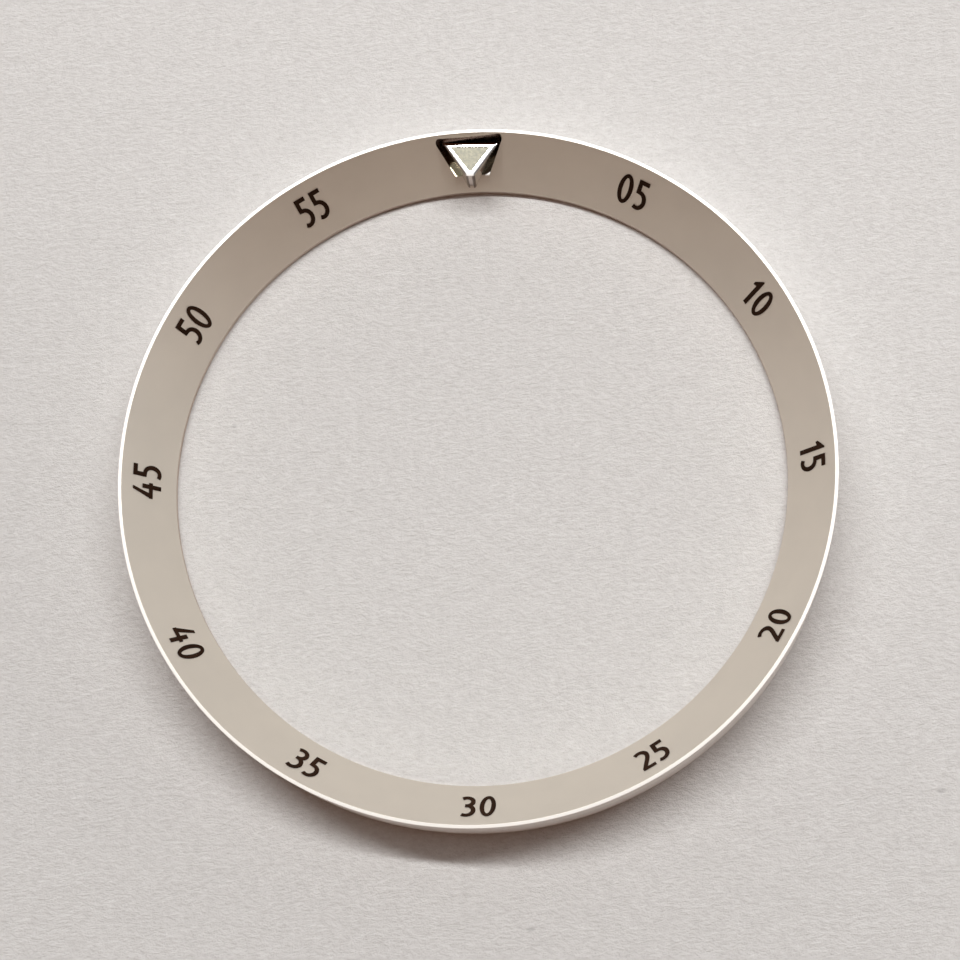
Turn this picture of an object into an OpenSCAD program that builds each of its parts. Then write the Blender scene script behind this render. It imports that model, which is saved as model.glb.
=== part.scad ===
// Watch chapter ring: a sloping minute ring with printed numerals and an
// applied triangular marker in a pocket at 12 o'clock.
// The origin is on the ring's axis at its underside, with +Z towards the
// crystal and +Y towards 12 o'clock.

/* [Ring] */
// Outer diameter of the ring
outer_d = 34; // [33:0.1:36]
// Width of the polished flat land round the top
land_w = 0.13; // [0.1:0.01:0.3]
// Width of the sloping face, seen from above
face_w = 2.01; // [1.9:0.01:2.3]
// Drop of the sloping face, from the land down to the upright lip
face_drop = 2.66; // [2.3:0.01:3]
// Height of the upright lip round the opening
lip_h = 0.29; // [0.2:0.01:0.6]
// Width and height of the broken edges of the outer wall
edge_break = 0.03; // [0.01:0.01:0.08]

/* [Marker pocket] */
// Strip of sloping face between the land and the pocket's back wall
pocket_web = 0.14; // [0.1:0.01:0.3]
// Depth of the pocket's flat floor below the land
pocket_depth = 1.9; // [1.7:0.01:2.1]
// Radius of the pocket's back corners
pocket_corner_r = 0.16; // [0.1:0.01:0.3]
// Gap between the marker's back and the pocket's back wall
back_gap = 0.12; // [0.04:0.01:0.2]
// Gap between the marker's sides and the pocket's side walls
side_gap = 0.25; // [0.1:0.01:0.35]

/* [Marker] */
// Width of the marker across its back
marker_w = 2.79; // [2.5:0.01:3]
// Length of the marker, from its back to its nose
marker_l = 1.7; // [1.4:0.01:1.7]
// Width of the marker's blunt nose
nose_w = 0.36; // [0.24:0.01:0.4]
// Gap between the nose's underside and the sloping face, measured level
nose_gap = 0.02; // [0.01:0.01:0.05]
// Depth of the marker's top below the ring's land
marker_sink = 0.63; // [0.4:0.01:0.9]
// Width of the bevel round the marker's top
bevel_w = 0.12; // [0.05:0.01:0.13]
// Height of the bevel round the marker's top
bevel_h = 0.04; // [0.03:0.01:0.12]
// Width of the flat rim between the bevel and the recess
rim_w = 0.1; // [0.05:0.01:0.1]
// Depth of the recess that holds the luminous fill
recess_depth = 0.35; // [0.25:0.01:0.6]
// Depth of the fill's top below the marker's rim
fill_sink = 0.1; // [0.02:0.01:0.15]

/* [Marker feet] */
// Diameter of the two feet under the marker
foot_d = 0.5; // [0.3:0.05:0.6]
// Distance between the centres of the feet
foot_spacing = 1.1; // [0.8:0.05:1.2]
// Distance from the marker's back to the centres of its feet
foot_inset = 0.5; // [0.4:0.05:0.6]
// Radial clearance between a foot and its hole
foot_fit = 0.02; // [0.01:0.01:0.05]
// Distance that the feet stop short of the ring's underside
foot_short = 0.1; // [0.02:0.01:0.2]

/* [Numerals] */
// Height of the digits, measured up the slope
digit_h = 1.68; // [1.4:0.01:1.9]
// Width of the pen strokes
stroke_w = 0.21; // [0.14:0.01:0.24]
// Gap between the two digits of a numeral
digit_gap = 0.17; // [0.1:0.01:0.3]
// Distance from the land to the numerals, measured down the slope
numeral_margin = 0.7; // [0.4:0.01:0.9]
// Thickness of the printed ink
ink_t = 0.03; // [0.02:0.01:0.08]

/* [Hidden] */

// Colours, as the real ring shows them
ring_colour = [0.72, 0.68, 0.62];
marker_colour = [0.9, 0.9, 0.9];
fill_colour = [0.82, 0.83, 0.72];
ink_colour = [0.08, 0.05, 0.04];

// Segments of the preview of the large circles and of the small ones
ring_fn = 180;
small_fn = 48;
// Segments of each curved pen stroke
curve_steps = 14;
// Overlap of cutting shapes past the surfaces that they cut
cut = 0.2;

// Ring: radii, height and slope of the face
outer_r = outer_d / 2;
face_r = outer_r - edge_break - land_w;
opening_r = face_r - face_w;
ring_h = lip_h + face_drop;
face_angle = atan(face_drop / face_w);
face_len = norm([face_w, face_drop]);

// Pocket and marker: places on the 12 o'clock line
pocket_back = face_r - pocket_web;
floor_z = ring_h - pocket_depth;
marker_back = pocket_back - back_gap;
marker_top = ring_h - marker_sink;
side_angle = atan((marker_w - nose_w) / 2 / marker_l);
fill_inset = bevel_w + rim_w;
recess_floor = marker_top - recess_depth;
foot_y = marker_back - foot_inset;
// Height inside the marker's body from which its feet grow
foot_root = (floor_z + recess_floor) / 2;
// Radius at which the pocket's floor comes out through the sloping face
floor_edge_r = opening_r + (floor_z - lip_h) / tan(face_angle);

// Numerals: the middle of each one on the sloping face
numeral_s = face_len - numeral_margin - digit_h / 2;
numeral_r = opening_r + numeral_s * cos(face_angle);
numeral_z = lip_h + numeral_s * sin(face_angle);
minutes = [5, 10, 15, 20, 25, 30, 35, 40, 45, 50, 55];
// Those whose numerals stand with their tops inwards
inverted_minutes = [20, 25, 30, 35, 40];
// Half the depth of the block of ink that is trimmed to the face
ink_reach = 0.1;

// The digits are drawn on a grid in which their height is 100 units
grid = 100;
unit_mm = digit_h / grid;
pen = stroke_w / unit_mm;
gap = digit_gap / unit_mm;
half_pen = pen / 2;
// Widths of the digits 0 to 5, and the extra room to the right of each
digit_w = [44, 24, 42, 41, 46, 39];
extra_gap = [0, 4, 0, 0, 3, 0];

// Geometry helpers

// Outline of the marker, drawn in by inset on all sides. Its nose comes to
// a point where the sides meet first.
function marker_outline(inset) =
    let (
        side_shift = inset / cos(side_angle),
        back_half = marker_w / 2 - inset * tan(side_angle) - side_shift,
        nose_half = nose_w / 2 + inset * tan(side_angle) - side_shift,
        back_y = marker_back - inset,
        nose_y = marker_back - marker_l + inset,
        point_y = back_y - back_half / tan(side_angle)
    )
    nose_half > 0
        ? [[-nose_half, nose_y], [nose_half, nose_y],
           [back_half, back_y], [-back_half, back_y]]
        : [[0, point_y], [back_half, back_y], [-back_half, back_y]];

function elliptic_arc(centre, rx, ry, from, to) = [
    for (i = [0 : curve_steps])
        let (a = from + (to - from) * i / curve_steps)
        centre + [rx * cos(a), ry * sin(a)]
];

function bezier(a, b, c, d) = [
    for (i = [1 : curve_steps])
        let (t = i / curve_steps, s = 1 - t)
        a * s * s * s + b * 3 * s * s * t + c * 3 * s * t * t + d * t * t * t
];

// The curl that ends a bowl: from its highest or lowest point to the blunt
// end of the stroke at the digit's left
function hook(crown, end) =
    let (lean = end.y > crown.y ? -1.5 : 1.5)
    bezier(crown, [(crown.x + end.x) / 2, crown.y], end + [5, lean], end);

function heading(path, i) =
    let (
        ahead = path[min(i + 1, len(path) - 1)],
        behind = path[max(i - 1, 0)]
    )
    (ahead - behind) / norm(ahead - behind);

function side_line(path, half) = [
    for (i = [0 : len(path) - 1])
        let (h = heading(path, i))
        path[i] + half * [-h.y, h.x]
];

function reversed(list) = [for (i = [len(list) - 1 : -1 : 0]) list[i]];

function numeral_name(minute) =
    str("numeral_", floor(minute / 10), minute % 10);

// A block of ink, which the strokes of a digit are made of. The blocks are
// fused to one solid and then trimmed to the face.
module block() {
    depth = ink_reach / unit_mm;
    translate([0, 0, -depth])
        linear_extrude(2 * depth)
            children();
}

// A pen stroke of constant width along a path, with square ends
module stroke(path) {
    block()
        polygon(concat(side_line(path, half_pen), reversed(side_line(path, -half_pen))));
}

module bar(x1, y1, x2, y2) {
    block()
        polygon([[x1, y1], [x2, y1], [x2, y2], [x1, y2]]);
}

// Digits, drawn from their lower left corner on the 100 unit grid

module digit_0() {
    w = digit_w[0] / 2;
    h = grid / 2;
    block()
        difference() {
            polygon(outline_0(w, h));
            polygon(outline_0(w - pen, h - pen));
        }
}

function outline_0(rx, ry) =
    let (steps = 3 * curve_steps)
    [for (i = [0 : steps - 1])
        let (a = 360 * i / steps)
        [digit_w[0] / 2 + rx * cos(a), grid / 2 + ry * sin(a)]];

module digit_1() {
    stem_l = digit_w[1] - pen;
    block()
        polygon([
            [digit_w[1], 0], [digit_w[1], grid], [stem_l + 8, grid], [8, 86],
            [0, 76], [1, 67], [stem_l, 71], [stem_l, 0]
        ]);
}

module digit_2() {
    bowl = [16, 71];
    rx = digit_w[2] - half_pen - 1 - bowl.x;
    ry = grid - half_pen - bowl.y;
    side = [bowl.x + rx, bowl.y];
    stroke(concat(
        reversed(hook([bowl.x, grid - half_pen], [4, 89.5])),
        elliptic_arc(bowl, rx, ry, 90, 0),
        bezier(side, [side.x, 50], [17, 31], [9.5, half_pen])
    ));
    bar(3, 0.5, digit_w[2], pen);
}

module digit_3() {
    waist = 54;
    upper_x = 15;
    upper_rx = digit_w[3] - 2.5 - half_pen - upper_x;
    upper_ry = (grid - half_pen - waist) / 2;
    lower_x = 15.5;
    lower_rx = digit_w[3] - half_pen - lower_x;
    lower_ry = (waist - half_pen) / 2;
    stroke(concat(
        reversed(hook([upper_x, grid - half_pen], [3, 90])),
        elliptic_arc([upper_x, waist + upper_ry], upper_rx, upper_ry, 90, -90)
    ));
    stroke(concat(
        elliptic_arc([lower_x, half_pen + lower_ry], lower_rx, lower_ry, 90, -90),
        hook([lower_x, half_pen], [4, 9.5])
    ));
    bar(11, waist - half_pen, upper_x + 1, waist + half_pen);
}

module digit_4() {
    bar_y = 30;
    stem_l = 28;
    bar_top = bar_y + half_pen;
    block()
        polygon([[21, grid], [29.5, grid], [13.5, bar_top], [0, bar_top]]);
    bar(0, bar_y, digit_w[4], bar_y + pen);
    bar(stem_l, 0, stem_l + pen, 66);
}

module digit_5() {
    bowl = [14, 32.4];
    rx = digit_w[5] - half_pen - bowl.x;
    ry = bowl.y - half_pen;
    stem_l = 2.5;
    stem_r = stem_l + pen;
    bowl_top = bowl.y + ry - half_pen;
    bar(stem_l, grid - 1.1 * pen, 36, grid);
    block()
        polygon([[stem_l, grid], [stem_l, 54], [stem_r, bowl_top], [stem_r, grid]]);
    stroke(concat(
        elliptic_arc(bowl, rx, ry, 90, -90),
        hook([bowl.x, half_pen], [4, 9.5])
    ));
}

module digit(d) {
    if (d == 0) digit_0();
    if (d == 1) digit_1();
    if (d == 2) digit_2();
    if (d == 3) digit_3();
    if (d == 4) digit_4();
    if (d == 5) digit_5();
}

// Two digits side by side, centred on the origin, in millimetres
module two_digits(tens, ones) {
    ones_x = digit_w[tens] + gap + extra_gap[tens];
    total = ones_x + digit_w[ones];
    scale(unit_mm)
        translate([-total / 2, -grid / 2]) {
            digit(tens);
            translate([ones_x, 0]) digit(ones);
        }
}

// The layer of space that the ink fills, all round the sloping face
module ink_layer() {
    normal = ink_t * [-sin(face_angle), cos(face_angle)];
    foot = [opening_r, lip_h];
    head = [face_r, ring_h];
    rotate_extrude($fn = ring_fn)
        polygon([foot, head, head + normal, foot + normal]);
}

// Plan of the pocket: the marker's triangle grown by the gaps, with its two
// back corners rounded and its point in front of the floor's open edge
module pocket_plan() {
    half_back = marker_w / 2 + back_gap * tan(side_angle) + side_gap / cos(side_angle);
    round_y = pocket_back - pocket_corner_r;
    round_x = half_back - pocket_corner_r / tan((90 - side_angle) / 2);
    side_x = round_x + pocket_corner_r * cos(side_angle);
    side_y = round_y - pocket_corner_r * sin(side_angle);
    point_y = pocket_back - half_back / tan(side_angle);
    polygon([
        [-round_x, pocket_back], [-side_x, side_y], [0, point_y],
        [side_x, side_y], [round_x, pocket_back]
    ]);
    for (side = [-1, 1])
        translate([side * round_x, round_y])
            circle(r = pocket_corner_r, $fn = small_fn);
}

module at_feet() {
    for (side = [-1, 1])
        translate([side * foot_spacing / 2, foot_y, 0]) children();
}

// Cuts the bevel along one top edge of the marker, from corner a to corner b
module bevel_cut(a, b) {
    run = b - a;
    rise = cut * bevel_h / bevel_w;
    translate([a.x, a.y, marker_top])
        rotate([0, 0, atan2(run.y, run.x)])
            rotate([90, 0, 90])
                translate([0, 0, -cut])
                    linear_extrude(norm(run) + 2 * cut)
                        polygon([[-cut, -bevel_h - rise], [bevel_w + cut, rise], [-cut, rise]]);
}

// What the marker's nose keeps clear of: the ring below the pocket's floor
module under_nose() {
    rotate_extrude($fn = ring_fn)
        polygon([
            [opening_r - nose_gap - cut / tan(face_angle), lip_h - cut],
            [outer_r, lip_h - cut],
            [outer_r, floor_z],
            [floor_edge_r - nose_gap, floor_z]
        ]);
}

// Sub-parts

module chapter_ring() {
    color(ring_colour)
        difference() {
            rotate_extrude($fn = ring_fn)
                polygon([
                    [opening_r, 0],
                    [outer_r - edge_break, 0],
                    [outer_r, edge_break],
                    [outer_r, ring_h - edge_break],
                    [outer_r - edge_break, ring_h],
                    [face_r, ring_h],
                    [opening_r, lip_h]
                ]);
            translate([0, 0, floor_z])
                linear_extrude(pocket_depth + cut)
                    pocket_plan();
            at_feet()
                translate([0, 0, -cut])
                    cylinder(r = foot_d / 2 + foot_fit, h = floor_z + 2 * cut, $fn = small_fn);
        }
}

module marker_frame() {
    outline = marker_outline(0);
    color(marker_colour) {
        difference() {
            translate([0, 0, lip_h])
                linear_extrude(marker_top - lip_h)
                    polygon(outline);
            under_nose();
            for (i = [0 : len(outline) - 1])
                bevel_cut(outline[i], outline[(i + 1) % len(outline)]);
            translate([0, 0, recess_floor])
                linear_extrude(recess_depth + cut)
                    polygon(marker_outline(fill_inset));
        }
        at_feet()
            translate([0, 0, foot_short])
                cylinder(d = foot_d, h = foot_root - foot_short, $fn = small_fn);
    }
}

module marker_fill() {
    color(fill_colour)
        translate([0, 0, recess_floor])
            linear_extrude(recess_depth - fill_sink)
                polygon(marker_outline(fill_inset));
}

// One printed numeral, drawn flat on the plane that touches the sloping
// face at the numeral's middle, and trimmed to the layer of ink
module numeral(minute) {
    inverted = len(search(minute, inverted_minutes)) > 0;
    color(ink_colour)
        intersection() {
            rotate([0, 0, -minute * 6])
                translate([0, numeral_r, numeral_z])
                    rotate([face_angle, 0, 0])
                        rotate([0, 0, inverted ? 180 : 0])
                            two_digits(floor(minute / 10), minute % 10);
            ink_layer();
        }
}

chapter_ring();
marker_frame();
marker_fill();
for (minute = minutes)
    numeral(minute);
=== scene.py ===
# Watch chapter ring: looks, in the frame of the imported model, which is in metres
import math

import bmesh
import bpy
from mathutils import Euler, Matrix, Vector, noise


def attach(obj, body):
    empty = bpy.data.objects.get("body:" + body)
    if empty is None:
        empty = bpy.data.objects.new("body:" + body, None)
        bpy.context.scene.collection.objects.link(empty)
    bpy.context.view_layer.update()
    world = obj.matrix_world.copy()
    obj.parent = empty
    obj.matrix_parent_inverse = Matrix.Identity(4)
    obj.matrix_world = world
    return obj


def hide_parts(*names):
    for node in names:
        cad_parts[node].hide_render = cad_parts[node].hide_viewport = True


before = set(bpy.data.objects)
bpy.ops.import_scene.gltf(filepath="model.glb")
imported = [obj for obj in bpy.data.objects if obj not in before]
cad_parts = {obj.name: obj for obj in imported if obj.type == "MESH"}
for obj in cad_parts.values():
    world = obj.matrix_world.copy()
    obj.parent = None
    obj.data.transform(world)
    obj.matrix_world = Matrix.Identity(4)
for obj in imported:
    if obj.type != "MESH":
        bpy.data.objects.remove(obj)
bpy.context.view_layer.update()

MM = 0.001

# Sizes of the ring, the pocket and the marker in millimetres, as in the model's source
OUTER_R = 17.0
FACE_R = 16.84
OPENING_R = 14.83
RING_H = 2.95
LIP_H = 0.29
POCKET_BACK = 16.7
POCKET_HALF_BACK = 1.7884
POCKET_CORNER_R = 0.16
POCKET_Z = 1.05
MARKER_BACK = 16.58
MARKER_W = 2.79
MARKER_L = 1.7
MARKER_TOP = 2.32
NOSE_W = 0.36
BEVEL_W = 0.12
RIM_W = 0.1
RECESS_DEPTH = 0.35
FOOT_X = 0.55
FOOT_Y = 16.08
FOOT_R = 0.25
FOOT_HOLE_R = 0.27
FOOT_END_Z = 0.1

SIDE_ANGLE = math.atan((MARKER_W - NOSE_W) / 2 / MARKER_L)
FACE_RISE = (RING_H - LIP_H) / (FACE_R - OPENING_R)

# All sizes from here on are in the looks only, in millimetres and degrees

# Radii of the ring's edges: the opening's foot, the wall's foot, both edges of the land and the lip
RING_EDGE_RADII = [0.02, 0.07, 0.015, 0.015, 0.03]
# Distance of the extra outline points that keep the faces beside an arc flat
RING_MARGIN = 0.02
FRAME_MARGIN = 0.01

# The pocket's point in front, which ends in the open, and the broken edges round the pocket
POCKET_POINT_R = 0.01
BROKEN_EDGE = 0.02
# The right front corner of the pocket's floor falls away a little, as a bright ledge
LEDGE_X = 0.6
LEDGE_Y = 15.42
LEDGE_TURN = 30.0
LEDGE_ANGLE = 12.0
# How far a cutter goes past the shape it cuts, and how near to its foot a point belongs to the foot
CUT_PAST = 0.3
FOOT_NEAR = 0.01

# The marker was set by hand: it and its pocket stand a little askew to each other
MARKER_TURN = -3.0
POCKET_TURN = 1.5
TURN_Y = 15.95
# The nose stands this far above the sloping face, and its top reaches further in than its foot
NOSE_GAP = 0.01
NOSE_REACH = 0.07
NOSE_UNDERCUT = 0.09
# Its top stands to the right of the middle, and its foot is further to the left than its top
NOSE_SHIFT = 0.05
NOSE_LEAN = 0.08
# Radii of the marker's upright edges, and how much they shrink for each millimetre further in
NOSE_CORNER_R = 0.175
NOSE_CORNER_SHRINK = 0.3
BACK_CORNER_R = 0.035
BACK_CORNER_SHRINK = 0.05
# The frame's curved bevel and the radius of its other edges
BEVEL_H = 0.022
BEVEL_CURVE = 1.8
FRAME_EDGE_R = 0.015
# The feet's lower edge, and the hole along their axis and its edges, which are too small to see
FOOT_EDGE_R = 0.04
AXIS_R = 0.001
SHARP_R = 0.0002

# The luminous fill lies below the rim, with a raised middle, a lower edge, and lumps and grains
FILL_SINK = 0.035
FILL_CROWN = 0.02
FILL_CURVE = 3
FILL_EDGE_DROP = 0.004
LUMP_H = 0.006
LUMPS_PER_MM = 11
GRAIN_H = 0.003
GRAINS_PER_LUMP = 2.7

# The floor lies a hair below the ring, so that their faces don't coincide
FLOOR_DROP = 0.002

# Steps of the shapes
RING_SEGMENTS = 720
RING_EDGE_STEPS = 6
POCKET_CORNER_STEPS = 10
ROUND_STEPS = 48
FOOT_EDGE_STEPS = 5
FRAME_EDGE_STEPS = 4
BEVEL_STEPS = 8
FILL_STEPS = 26
# Steps of the marker's upright edges, and parts of its sides: the nose, the right, the back, the left
ARC_STEPS = 6
OUTLINE_PARTS = [3, 24, 16, 24]


# Node helpers

def new_material(name):
    material = bpy.data.materials.new(name)
    material.use_nodes = True
    tree = material.node_tree
    return material, tree, tree.nodes["Principled BSDF"]


def set_inputs(tree, node, inputs):
    """Links each input that is given a socket, and sets the others to their plain value"""
    for key, value in inputs.items():
        if isinstance(value, bpy.types.NodeSocket):
            tree.links.new(value, node.inputs[key])
        else:
            node.inputs[key].default_value = value


def add_node(tree, kind, inputs=None, **settings):
    made = tree.nodes.new("ShaderNode" + kind)
    for key, value in settings.items():
        setattr(made, key, value)
    set_inputs(tree, made, inputs or {})
    return made


def object_place(tree):
    return add_node(tree, "TexCoord").outputs["Object"]


def stretched(tree, place, scale, turn=0.0):
    inputs = {"Vector": place, "Scale": scale, "Rotation": (0, 0, turn)}
    return add_node(tree, "Mapping", inputs).outputs[0]


def noise_value(tree, place, scale, detail=2.0, roughness=0.5):
    inputs = {"Vector": place, "Scale": scale, "Detail": detail, "Roughness": roughness}
    return add_node(tree, "TexNoise", inputs).outputs["Fac"]


def ranged(tree, value, low, high, start=0.0, end=1.0, smooth=False):
    inputs = {"Value": value, "From Min": start, "From Max": end, "To Min": low, "To Max": high}
    kind = "SMOOTHSTEP" if smooth else "LINEAR"
    return add_node(tree, "MapRange", inputs, interpolation_type=kind).outputs["Result"]


def ramp(tree, value, stops):
    made = add_node(tree, "ValToRGB", {"Fac": value})
    elements = made.color_ramp.elements
    while len(elements) < len(stops):
        elements.new(0.5)
    for element, (position, colour) in zip(elements, stops):
        element.position = position
        element.color = (*colour, 1)
    return made.outputs["Color"]


def combined(tree, operation, first, second):
    return add_node(tree, "Math", {0: first, 1: second}, operation=operation).outputs[0]


def vector_node(tree, operation, first, second):
    return add_node(tree, "VectorMath", {0: first, 1: second}, operation=operation)


def distance_along(tree, place, direction):
    """How far the place lies in the direction"""
    return vector_node(tree, "DOT_PRODUCT", place, direction).outputs["Value"]


def blended(tree, factor, first, second, kind="MIX"):
    inputs = {0: factor, 6: first, 7: second}
    return add_node(tree, "Mix", inputs, data_type="RGBA", blend_type=kind).outputs[2]


def darkened(tree, colour, value):
    """The colour times a grey value"""
    grey = add_node(tree, "CombineColor", {0: value, 1: value, 2: value}).outputs[0]
    return blended(tree, 1.0, colour, grey, "MULTIPLY")


def bump(tree, height, distance, strength):
    inputs = {"Height": height, "Distance": distance, "Strength": strength}
    return add_node(tree, "Bump", inputs).outputs["Normal"]


def turned_place(tree, place):
    """Distance from the axis and height alone, so that a pattern runs round the ring"""
    split = add_node(tree, "SeparateXYZ", {0: place})
    flat = add_node(tree, "CombineXYZ", {0: split.outputs[0], 1: split.outputs[1]})
    radius = add_node(tree, "VectorMath", {0: flat.outputs[0]}, operation="LENGTH").outputs["Value"]
    return add_node(tree, "CombineXYZ", {0: radius, 1: split.outputs[2]}).outputs[0]


# Materials

def satin_material():
    """The sloping face: fine satin metal in a warm silver"""
    material, tree, shader = new_material("satin_face")
    place = object_place(tree)
    clouds = noise_value(tree, place, scale=420, detail=3)
    grain = noise_value(tree, place, scale=26000, detail=3, roughness=0.6)
    set_inputs(tree, shader, {
        "Base Color": ramp(tree, clouds, [(0.3, (0.759, 0.705, 0.626)), (0.7, (0.793, 0.736, 0.652))]),
        "Metallic": 0.88,
        "Specular IOR Level": 0.2,
        "Roughness": ranged(tree, grain, low=0.42, high=0.5, start=0.3, end=0.7),
        "Normal": bump(tree, grain, distance=0.000004, strength=0.25),
    })
    return material


def turned_material(name, dark, light, low, high, depth, metallic=1.0):
    """Metal with fine turning lines round the axis"""
    material, tree, shader = new_material(name)
    place = turned_place(tree, object_place(tree))
    lines = noise_value(tree, place, scale=9000, detail=4, roughness=0.65)
    clouds = noise_value(tree, place, scale=1500, detail=3)
    both = combined(tree, "MULTIPLY", lines, clouds)
    set_inputs(tree, shader, {
        "Base Color": ramp(tree, both, [(0.12, dark), (0.4, light)]),
        "Metallic": metallic,
        "Roughness": ranged(tree, lines, low, high, start=0.3, end=0.7),
        "Normal": bump(tree, lines, depth, strength=0.5),
    })
    return material


def painted_shade_pocket_material(name, dark, light, low, high):
    """The pocket, darker than the finished face: painted shade in the recess, with faint milling marks"""
    material, tree, shader = new_material(name)
    place = stretched(tree, object_place(tree), (1, 0.25, 0.4))
    marks = noise_value(tree, place, scale=14000, detail=3)
    set_inputs(tree, shader, {
        "Base Color": ramp(tree, marks, [(0.3, dark), (0.7, light)]),
        "Metallic": 1,
        "Roughness": ranged(tree, marks, low, high, start=0.3, end=0.7),
        "Normal": bump(tree, marks, distance=0.0000006, strength=0.2),
    })
    return material


def polished_material(name, dark, light, low, high):
    """The marker's polished metal, with faint rubbing marks; its darker copies paint shade on the sides and
    the nose
    """
    material, tree, shader = new_material(name)
    place = object_place(tree)
    along = stretched(tree, place, (0.2, 1, 1), turn=0.6)
    rubbed = noise_value(tree, along, scale=16000, detail=4, roughness=0.6)
    haze = noise_value(tree, place, scale=1800, detail=2)
    set_inputs(tree, shader, {
        "Base Color": ramp(tree, haze, [(0.3, dark), (0.7, light)]),
        "Metallic": 1,
        "Roughness": ranged(tree, rubbed, low, high, start=0.35, end=0.7),
        "Normal": bump(tree, rubbed, distance=0.0000006, strength=0.2),
    })
    return material


def lume_material():
    """Luminous compound: pale grey-green grains in a clear binder"""
    material, tree, shader = new_material("luminous_fill")
    place = object_place(tree)
    grains = add_node(tree, "TexVoronoi", {"Vector": place, "Scale": 17000}).outputs["Color"]
    speckle = add_node(tree, "RGBToBW", {0: grains}).outputs[0]
    speckle_tone = ranged(tree, speckle, low=0.7, high=1.0)
    clumps = noise_value(tree, place, scale=5200, detail=3, roughness=0.6)
    clump_tone = ranged(tree, clumps, low=0.4, high=1.0, start=0.25, end=0.75)
    both = combined(tree, "MULTIPLY", clump_tone, speckle_tone)
    stops = [(0.3, (0.42, 0.43, 0.36)), (0.62, (0.61, 0.6, 0.475)), (0.95, (0.78, 0.76, 0.6))]
    set_inputs(tree, shader, {
        "Base Color": ramp(tree, both, stops),
        "Specular IOR Level": 0.3,
        "Roughness": ranged(tree, clumps, low=0.5, high=0.85, start=0.3, end=0.7),
        "Normal": bump(tree, both, distance=0.000012, strength=0.5),
    })
    return material


def ink_material():
    """Printed ink: near black, with a slightly uneven film"""
    material, tree, shader = new_material("printed_ink")
    place = object_place(tree)
    film = noise_value(tree, place, scale=9000, detail=3)
    clouds = noise_value(tree, place, scale=900, detail=2)
    set_inputs(tree, shader, {
        "Base Color": ramp(tree, clouds, [(0.3, (0.018, 0.008, 0.004)), (0.7, (0.032, 0.015, 0.008))]),
        "Specular IOR Level": 0.03,
        "Roughness": ranged(tree, film, low=0.5, high=0.75, start=0.3, end=0.7),
        "Normal": bump(tree, film, distance=0.000004, strength=0.3),
    })
    return material


def paper_material():
    """Pale soft paper with fibres that run mostly one way, a few specks, and painted light: lighter towards
    the lamp's side and darker towards the viewer's side
    """
    material, tree, shader = new_material("paper")
    place = object_place(tree)
    bend = add_node(tree, "TexNoise", {"Vector": place, "Scale": 260, "Detail": 2}).outputs["Color"]
    push = vector_node(tree, "MULTIPLY", bend, (0.0006, 0.0006, 0)).outputs[0]
    bent = vector_node(tree, "ADD", place, push).outputs[0]
    fibres = noise_value(tree, stretched(tree, bent, (0.55, 1, 1)), scale=5200, detail=5, roughness=0.72)
    felt = noise_value(tree, bent, scale=1400, detail=3, roughness=0.55)
    grit = noise_value(tree, place, scale=12000, detail=3, roughness=0.6)
    fine = combined(tree, "MULTIPLY", fibres, 0.6)
    for layer, share in ((felt, 0.2), (grit, 0.2)):
        fine = combined(tree, "ADD", fine, combined(tree, "MULTIPLY", layer, share))
    stops = [(0.37, (0.665, 0.65, 0.632)), (0.5, (0.735, 0.721, 0.704)), (0.63, (0.8, 0.789, 0.773))]
    colour = ramp(tree, fine, stops)
    speck_place = stretched(tree, bent, (0.5, 1, 1), turn=0.5)
    specks = add_node(tree, "TexVoronoi", {"Vector": speck_place, "Scale": 260}).outputs["Distance"]
    speck_tone = ranged(tree, specks, low=0.8, high=1.0, start=0.018, end=0.04, smooth=True)
    # Painted light fall-off across the paper: darker towards -x and -y, lighter towards +x and +y
    across = distance_along(tree, place, (1.7, 3.0, 0))
    painted_light_falloff = ranged(tree, across, low=0.93, high=1.05, start=-0.08, end=0.08, smooth=True)
    colour = darkened(tree, darkened(tree, colour, speck_tone), painted_light_falloff)
    set_inputs(tree, shader, {
        "Base Color": colour,
        "Specular IOR Level": 0.2,
        "Roughness": 0.9,
        "Normal": bump(tree, fine, distance=0.0002, strength=0.8),
    })
    return material


# Each metal has a darker and a lighter colour, and the lowest and highest roughness
SATIN = satin_material()
WALL = turned_material(
    "turned_wall", (0.79, 0.745, 0.71), (0.94, 0.89, 0.85), 0.5, 0.68, depth=0.000003, metallic=0.35)
# The lip is a darker, browner copy of the ring metal: painted shade on the inner lip wall and the opening's
# foot
LIP_PAINTED_SHADE = turned_material(
    "turned_lip_painted_shade", (0.62, 0.52, 0.45), (0.72, 0.61, 0.53), 0.4, 0.5, depth=0.000001)
LAND = turned_material(
    "bright_land", (0.81, 0.778, 0.728), (0.86, 0.837, 0.79), 0.28, 0.38, depth=0.0000004, metallic=0.3)
# The pocket's floor and walls are dark brown copies of the ring metal: painted shade in the recess
POCKET_FLOOR_PAINTED_SHADE = painted_shade_pocket_material("pocket_floor_painted_shade", (0.2, 0.18, 0.125), (0.27, 0.245, 0.175), 0.05, 0.11)
POCKET_WALL_PAINTED_SHADE = painted_shade_pocket_material("pocket_wall_painted_shade", (0.2, 0.13, 0.1), (0.28, 0.19, 0.15), 0.22, 0.34)
POLISHED = polished_material("polished_frame", (0.9, 0.89, 0.87), (0.95, 0.945, 0.93), 0.05, 0.12)
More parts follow.
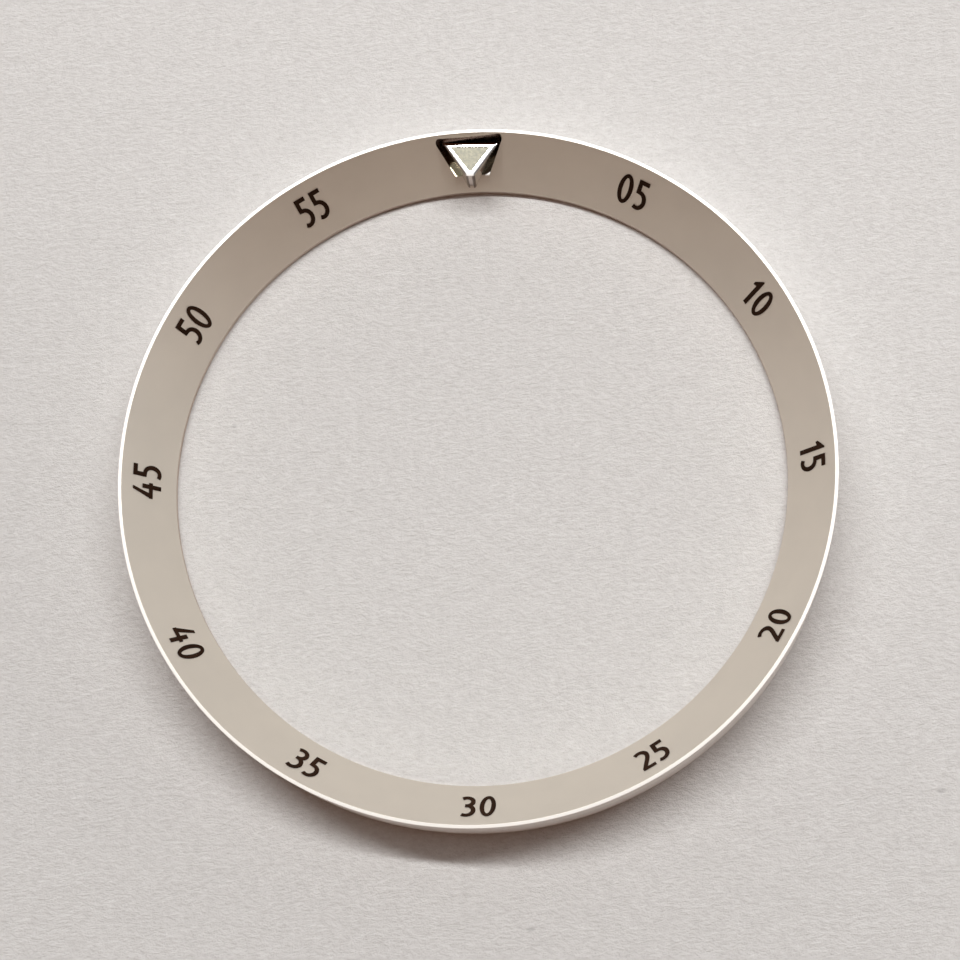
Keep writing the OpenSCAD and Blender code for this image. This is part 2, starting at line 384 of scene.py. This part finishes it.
# Darker, browner copies of the polished metal: painted shade on the marker's upright sides and on the flat
# of the nose, darkest on the nose's two edges
FRAME_SIDE_PAINTED_SHADE = polished_material("frame_side_painted_shade", (0.6, 0.55, 0.5), (0.68, 0.63, 0.58), 0.16, 0.26)
NOSE_FRONT_PAINTED_SHADE = polished_material("nose_front_painted_shade", (0.7, 0.61, 0.55), (0.77, 0.68, 0.62), 0.1, 0.18)
NOSE_EDGE_PAINTED_SHADE = polished_material("painted_shade_nose_edge", (0.2, 0.15, 0.12), (0.28, 0.22, 0.18), 0.2, 0.3)
LUME = lume_material()
INK = ink_material()
PAPER = paper_material()


# Shape helpers, in millimetres

def turned(points, angle):
    """The points turned about the middle of the marker"""
    cosine = math.cos(math.radians(angle))
    sine = math.sin(math.radians(angle))
    result = []
    for x, y in points:
        ahead = y - TURN_Y
        result.append((x * cosine - ahead * sine, TURN_Y + x * sine + ahead * cosine))
    return result


def circle(centre, radius, steps):
    points = []
    for step in range(steps):
        angle = 2 * math.pi * step / steps
        points.append((centre[0] + radius * math.cos(angle), centre[1] + radius * math.sin(angle)))
    return points


def round_corners(corners, radii, steps):
    """The closed outline with each corner replaced by an arc of its own radius"""
    points = []
    for i, corner in enumerate(corners):
        corner = Vector(corner)
        behind = (Vector(corners[i - 1]) - corner).normalized()
        ahead = (Vector(corners[(i + 1) % len(corners)]) - corner).normalized()
        half = behind.angle(ahead) / 2
        centre = corner + (behind + ahead).normalized() * radii[i] / math.sin(half)
        reach = radii[i] / math.tan(half)
        start = corner + behind * reach - centre
        end = corner + ahead * reach - centre
        first = math.atan2(start.y, start.x)
        sweep = (math.atan2(end.y, end.x) - first + math.pi) % (2 * math.pi) - math.pi
        for step in range(steps + 1):
            angle = first + sweep * step / steps
            x = centre.x + radii[i] * math.cos(angle)
            points.append((x, centre.y + radii[i] * math.sin(angle)))
    return points


def cut_sides(points, steps, parts):
    """The outline of rounded corners with each straight side cut into its number of parts"""
    result = []
    for i, point in enumerate(points):
        result.append(point)
        side, place = divmod(i, steps + 1)
        if place == steps:
            following = points[(i + 1) % len(points)]
            for part in range(1, parts[side]):
                share = part / parts[side]
                x = point[0] + (following[0] - point[0]) * share
                result.append((x, point[1] + (following[1] - point[1]) * share))
    return result


def with_margins(points, steps, margin):
    """The outline of rounded corners with a point close to both ends of each arc, which keeps faces flat"""
    result = []
    for i, point in enumerate(points):
        place = i % (steps + 1)
        here = Vector(point)
        behind = Vector(points[i - 1])
        ahead = Vector(points[(i + 1) % len(points)])
        if place == 0:
            result.append(tuple(here + (behind - here).normalized() * margin))
        result.append(point)
        if place == steps:
            result.append(tuple(here + (ahead - here).normalized() * margin))
    return result


def revolve(mesh, profile, segments, centre=(0, 0), materials=None):
    """Turns a closed profile of radius and height round an upright axis"""
    rings = []
    for segment in range(segments):
        angle = 2 * math.pi * segment / segments
        ring = []
        for radius, height in profile:
            x = centre[0] + radius * math.cos(angle)
            y = centre[1] + radius * math.sin(angle)
            ring.append(mesh.verts.new((x * MM, y * MM, height * MM)))
        rings.append(ring)
    for segment in range(segments):
        ring = rings[segment]
        following = rings[(segment + 1) % segments]
        for i in range(len(profile)):
            j = (i + 1) % len(profile)
            face = mesh.faces.new((ring[i], following[i], following[j], ring[j]))
            if materials:
                face.material_index = materials[i]


def stack(mesh, loops, side_materials=None, side_levels=0):
    """Joins closed outlines of the same number of points, each with its height or a list of heights.
    The faces of the lowest levels get the materials of the sides."""
    rings = []
    for points, heights in loops:
        if not isinstance(heights, list):
            heights = [heights] * len(points)
        rings.append([mesh.verts.new((x * MM, y * MM, z * MM)) for (x, y), z in zip(points, heights)])
    for level, (lower, upper) in enumerate(zip(rings, rings[1:])):
        for i in range(len(lower)):
            j = (i + 1) % len(lower)
            face = mesh.faces.new((lower[i], lower[j], upper[j], upper[i]))
            if level < side_levels:
                face.material_index = side_materials[i]
    mesh.faces.new(rings[0][::-1])
    mesh.faces.new(rings[-1])
    return rings


def finished(mesh, name, materials):
    bmesh.ops.recalc_face_normals(mesh, faces=mesh.faces)
    data = bpy.data.meshes.new(name)
    mesh.to_mesh(data)
    mesh.free()
    for material in materials:
        data.materials.append(material)
    piece = bpy.data.objects.new(name, data)
    bpy.context.scene.collection.objects.link(piece)
    return piece


def smooth(piece, angle):
    piece.data.shade_smooth()
    piece.data.set_sharp_from_angle(angle=math.radians(angle))
    weighted = piece.modifiers.new("weighted", "WEIGHTED_NORMAL")
    weighted.keep_sharp = True
    weighted.weight = 80


def apply_modifiers(piece):
    graph = bpy.context.evaluated_depsgraph_get()
    data = bpy.data.meshes.new_from_object(piece.evaluated_get(graph))
    piece.modifiers.clear()
    piece.data = data


# Ring

def ring_body():
    """The turned ring, from its profile with rounded edges"""
    # The shaded lip index puts painted shade, a darker copy of the ring metal, on the lip wall and the
    # opening's foot
    satin, wall, land, shaded_lip = range(4)
    corners = [(OPENING_R, 0), (OUTER_R, 0), (OUTER_R, RING_H), (FACE_R, RING_H), (OPENING_R, LIP_H)]
    arcs = [shaded_lip, wall, wall, satin, satin]
    sides = [wall, wall, land, satin, shaded_lip]
    rounded = round_corners(corners, RING_EDGE_RADII, RING_EDGE_STEPS)
    profile = with_margins(rounded, RING_EDGE_STEPS, RING_MARGIN)
    # The end of the side behind, the arc, and the start and the rest of the side ahead
    materials = []
    for i, arc in enumerate(arcs):
        materials += [sides[i - 1]] + [arc] * RING_EDGE_STEPS + [sides[i]] * 2
    mesh = bmesh.new()
    revolve(mesh, profile, RING_SEGMENTS, materials=materials)
    return finished(mesh, "ring_body", [SATIN, WALL, LAND, LIP_PAINTED_SHADE])


def pocket_cutter():
    """The space of the pocket, with its foot folded down at the ledge"""
    # The pocket's walls get painted shade, and the ledge the polished metal
    wall, ledge = 1, 2
    point_y = POCKET_BACK - POCKET_HALF_BACK / math.tan(SIDE_ANGLE)
    corners = [(0, point_y), (POCKET_HALF_BACK, POCKET_BACK), (-POCKET_HALF_BACK, POCKET_BACK)]
    radii = [POCKET_POINT_R, POCKET_CORNER_R, POCKET_CORNER_R]
    outline = turned(round_corners(corners, radii, POCKET_CORNER_STEPS), POCKET_TURN)
    mesh = bmesh.new()
    loops = [(outline, POCKET_Z), (outline, RING_H + CUT_PAST)]
    stack(mesh, loops, side_materials=[wall] * len(outline), side_levels=1)
    fold = Vector((LEDGE_X * MM, LEDGE_Y * MM, 0))
    turn = math.radians(LEDGE_TURN)
    across = Vector((-math.sin(turn), math.cos(turn), 0))
    everything = mesh.verts[:] + mesh.edges[:] + mesh.faces[:]
    bmesh.ops.bisect_plane(mesh, geom=everything, plane_co=fold, plane_no=across)
    low = (POCKET_Z + FOOT_NEAR) * MM
    for vertex in mesh.verts:
        ahead = (fold - vertex.co).dot(across)
        if vertex.co.z < low and ahead > 0:
            vertex.co.z -= ahead * math.tan(math.radians(LEDGE_ANGLE))
    for face in mesh.faces:
        middle = face.calc_center_median()
        if middle.z < low and (fold - middle).dot(across) > 0:
            face.material_index = ledge
    return finished(mesh, "pocket_cutter", [POCKET_FLOOR_PAINTED_SHADE, POCKET_WALL_PAINTED_SHADE, POLISHED])


def hole_cutter():
    mesh = bmesh.new()
    for side in (-1, 1):
        outline = circle((side * FOOT_X, FOOT_Y), FOOT_HOLE_R, ROUND_STEPS)
        stack(mesh, [(outline, -CUT_PAST), (outline, POCKET_Z + CUT_PAST)])
    return finished(mesh, "hole_cutter", [POCKET_WALL_PAINTED_SHADE])


def cut_away(piece, cutter):
    cut = piece.modifiers.new("cut", "BOOLEAN")
    cut.object = cutter
    cut.operation = "DIFFERENCE"
    cut.solver = "EXACT"
    cut.material_mode = "TRANSFER"
    apply_modifiers(piece)
    bpy.data.objects.remove(cutter)


def build_ring():
    piece = ring_body()
    cut_away(piece, pocket_cutter())
    broken = piece.modifiers.new("broken_edges", "BEVEL")
    broken.width = BROKEN_EDGE * MM
    broken.segments = 3
    broken.limit_method = "ANGLE"
    broken.angle_limit = math.radians(32)
    apply_modifiers(piece)
    cut_away(piece, hole_cutter())
    smooth(piece, angle=30)
    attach(piece, "root")
    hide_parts("chapter_ring")


# Marker

def marker_corners(inset, foot):
    """Corners of the marker, further in by the inset, at its foot or above it"""
    side_shift = inset / math.cos(SIDE_ANGLE)
    back_half = MARKER_W / 2 - inset * math.tan(SIDE_ANGLE) - side_shift
    nose_half = NOSE_W / 2 + inset * math.tan(SIDE_ANGLE) - side_shift
    back_y = MARKER_BACK - inset
    nose_x = NOSE_SHIFT
    nose_y = MARKER_BACK - MARKER_L + inset
    outer_share = max(0, 1 - inset / (BEVEL_W + RIM_W))
    if foot:
        nose_x -= NOSE_LEAN
        nose_y += NOSE_UNDERCUT
    else:
        nose_y -= NOSE_REACH * outer_share
    left = nose_x - nose_half
    right = nose_x + nose_half
    return [(left, nose_y), (right, nose_y), (back_half, back_y), (-back_half, back_y)]


def marker_outline(inset, foot=False):
    """The marker's rounded outline, always with the same number of points"""
    nose_r = NOSE_CORNER_R - NOSE_CORNER_SHRINK * inset
    back_r = BACK_CORNER_R - BACK_CORNER_SHRINK * inset
    radii = [nose_r, nose_r, back_r, back_r]
    outline = round_corners(marker_corners(inset, foot), radii, ARC_STEPS)
    return turned(cut_sides(outline, ARC_STEPS, OUTLINE_PARTS), MARKER_TURN)


def marker_side_materials():
    """The flat of the nose, its two edges and the other sides get darker copies of the polished metal as
    painted shade, darkest on the nose's edges
    """
    side, shaded_edge, shaded_front = 1, 2, 3
    nose, right, back, left = OUTLINE_PARTS
    painted_shade_nose_edge = [shaded_edge] * ARC_STEPS
    rest = [side] * (right + ARC_STEPS + back + ARC_STEPS + left)
    return painted_shade_nose_edge + [shaded_front] * nose + painted_shade_nose_edge + rest


def marker_foot(points):
    """Heights of the marker's underside: the pocket's floor, and in front of it the sloping face"""
    heights = []
    for x, y in points:
        slope_z = LIP_H + (math.hypot(x, y) + NOSE_GAP - OPENING_R) * FACE_RISE
        heights.append(min(slope_z, POCKET_Z))
    return heights


def build_frame_piece():
    """Polished frame: upright sides, a shallow rounded bevel, a flat rim and the recess"""
    inner = BEVEL_W + RIM_W
    outline = marker_outline(0)
    foot = marker_outline(0, foot=True)
    side_top = MARKER_TOP - BEVEL_H - FRAME_EDGE_R
    loops = [(foot, marker_foot(foot)), (outline, side_top - FRAME_MARGIN), (outline, side_top)]
    for step in range(1, FRAME_EDGE_STEPS):
        angle = math.radians(90 * step / FRAME_EDGE_STEPS)
        inset = FRAME_EDGE_R * (1 - math.cos(angle))
        height = MARKER_TOP - BEVEL_H - FRAME_EDGE_R * (1 - math.sin(angle))
        loops.append((marker_outline(inset), height))
    for step in range(BEVEL_STEPS + 1):
        share = step / BEVEL_STEPS
        inset = FRAME_EDGE_R + (BEVEL_W - FRAME_EDGE_R) * share
        loops.append((marker_outline(inset), MARKER_TOP - BEVEL_H * (1 - share) ** BEVEL_CURVE))
    loops.append((marker_outline(BEVEL_W + FRAME_MARGIN), MARKER_TOP))
    loops.append((marker_outline(inner - FRAME_EDGE_R - FRAME_MARGIN), MARKER_TOP))
    loops.append((marker_outline(inner - FRAME_EDGE_R), MARKER_TOP))
    for step in range(1, FRAME_EDGE_STEPS + 1):
        angle = math.radians(90 * step / FRAME_EDGE_STEPS)
        inset = inner - FRAME_EDGE_R + FRAME_EDGE_R * math.sin(angle)
        loops.append((marker_outline(inset), MARKER_TOP - FRAME_EDGE_R * (1 - math.cos(angle))))
    loops.append((marker_outline(inner), MARKER_TOP - FRAME_EDGE_R - FRAME_MARGIN))
    loops.append((marker_outline(inner), MARKER_TOP - RECESS_DEPTH))
    mesh = bmesh.new()
    stack(mesh, loops, side_materials=marker_side_materials(), side_levels=2)
    corners = [(AXIS_R, FOOT_END_Z), (FOOT_R, FOOT_END_Z), (FOOT_R, POCKET_Z), (AXIS_R, POCKET_Z)]
    profile = round_corners(corners, [SHARP_R, FOOT_EDGE_R, SHARP_R, SHARP_R], FOOT_EDGE_STEPS)
    for side in (-1, 1):
        revolve(mesh, profile, ROUND_STEPS, centre=(side * FOOT_X, FOOT_Y))
    # The upright sides and the nose get the painted shade copies of the polished metal
    piece = finished(mesh, "marker_frame_detail", [POLISHED, FRAME_SIDE_PAINTED_SHADE, NOSE_EDGE_PAINTED_SHADE, NOSE_FRONT_PAINTED_SHADE])
    smooth(piece, angle=40)
    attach(piece, "root")
    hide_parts("marker_frame")


def build_fill_piece():
    """Luminous fill: a slightly crowned, grainy surface in the recess"""
    outline = marker_outline(BEVEL_W + RIM_W)
    middle_x = sum(x for x, y in outline) / len(outline)
    middle_y = sum(y for x, y in outline) / len(outline)
    edge_z = MARKER_TOP - FILL_SINK - FILL_EDGE_DROP
    loops = [(outline, MARKER_TOP - RECESS_DEPTH), (outline, edge_z)]
    for step in range(1, FILL_STEPS):
        share = 1 - step / FILL_STEPS
        points = []
        for x, y in outline:
            points.append((middle_x + (x - middle_x) * share, middle_y + (y - middle_y) * share))
        loops.append((points, edge_z + (FILL_EDGE_DROP + FILL_CROWN) * (1 - share ** FILL_CURVE)))
    mesh = bmesh.new()
    rings = stack(mesh, loops)
    # The foot, the edge and the first outline inside it stay smooth
    for ring in rings[3:]:
        for vertex in ring:
            spot = vertex.co / MM * LUMPS_PER_MM
            lump = LUMP_H * MM * noise.noise(spot)
            vertex.co.z += lump + GRAIN_H * MM * noise.noise(spot * GRAINS_PER_LUMP)
    piece = finished(mesh, "marker_fill_detail", [LUME])
    smooth(piece, angle=60)
    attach(piece, "root")
    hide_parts("marker_fill")


def ink_numerals():
    for name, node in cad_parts.items():
        if name.startswith("numeral"):
            for slot in range(len(node.data.materials)):
                node.data.materials[slot] = INK


def build_floor():
    mesh = bmesh.new()
    bmesh.ops.create_grid(mesh, x_segments=8, y_segments=8, size=4)
    floor = finished(mesh, "floor", [PAPER])
    floor.location.z = -FLOOR_DROP * MM


build_ring()
build_frame_piece()
build_fill_piece()
ink_numerals()
build_floor()


# Light

def studio_world():
    """A room that is dark and warm on the viewer's side, and pale low down elsewhere and overhead"""
    world = bpy.data.worlds.new("studio")
    bpy.context.scene.world = world
    world.use_nodes = True
    tree = world.node_tree
    black = (0, 0, 0, 1)
    place = add_node(tree, "TexCoord").outputs["Generated"]
    height = add_node(tree, "SeparateXYZ", {0: place}).outputs["Z"]
    ahead = distance_along(tree, place, (0.25, 1, 0))
    away = ranged(tree, ahead, low=0, high=1, start=-0.65, end=0.2, smooth=True)
    behind = ranged(tree, ahead, low=0, high=1, start=-0.2, end=0.3, smooth=True)
    near_low = ranged(tree, height, low=1, high=0, start=0.05, end=0.24, smooth=True)
    near = blended(tree, near_low, (0.1, 0.037, 0.014, 1), (0.43, 0.345, 0.285, 1))
    walls = blended(tree, behind, near, (0.17, 0.17, 0.17, 1))
    low = ranged(tree, height, low=1, high=0, start=0.15, end=0.45, smooth=True)
    low_away = combined(tree, "MULTIPLY", low, away)
    low_light = blended(tree, low_away, black, (0.72, 0.71, 0.7, 1))
    towards = distance_along(tree, place, (-0.1, 0.2, 0.975))
    top = ranged(tree, towards, low=0, high=1, start=0.92, end=0.98, smooth=True)
    top_light = blended(tree, top, black, (1.0, 0.99, 0.97, 1))
    total = blended(tree, 1.0, walls, low_light, "ADD")
    total = blended(tree, 1.0, total, top_light, "ADD")
    tree.links.new(total, tree.nodes["Background"].inputs["Color"])


def area_light(name, location, target, size, power):
    data = bpy.data.lights.new(name, "AREA")
    data.shape = "RECTANGLE"
    data.size = size[0]
    data.size_y = size[1]
    data.energy = power
    light = bpy.data.objects.new(name, data)
    light.location = location
    light.rotation_euler = (Vector(target) - Vector(location)).to_track_quat("-Z", "Y").to_euler()
    bpy.context.scene.collection.objects.link(light)


def build_camera():
    """Stands where the outlines of the rims match the photo"""
    data = bpy.data.cameras.new("camera")
    data.sensor_width = 36
    data.lens = 73.1
    data.clip_start = 0.001
    camera = bpy.data.objects.new("camera", data)
    camera.rotation_mode = "YXZ"
    camera.rotation_euler = Euler((0.26007, 0.10302, -0.03829), "YXZ")
    camera.location = (0.008859, -0.024572, 0.09071)
    bpy.context.scene.collection.objects.link(camera)
    bpy.context.scene.camera = camera


studio_world()
area_light("strip", location=(0.24, 2.27, 4.8), target=(0, 0, 0), size=(8.0, 0.38), power=298)
build_camera()
bpy.context.scene.view_settings.view_transform = "Standard"
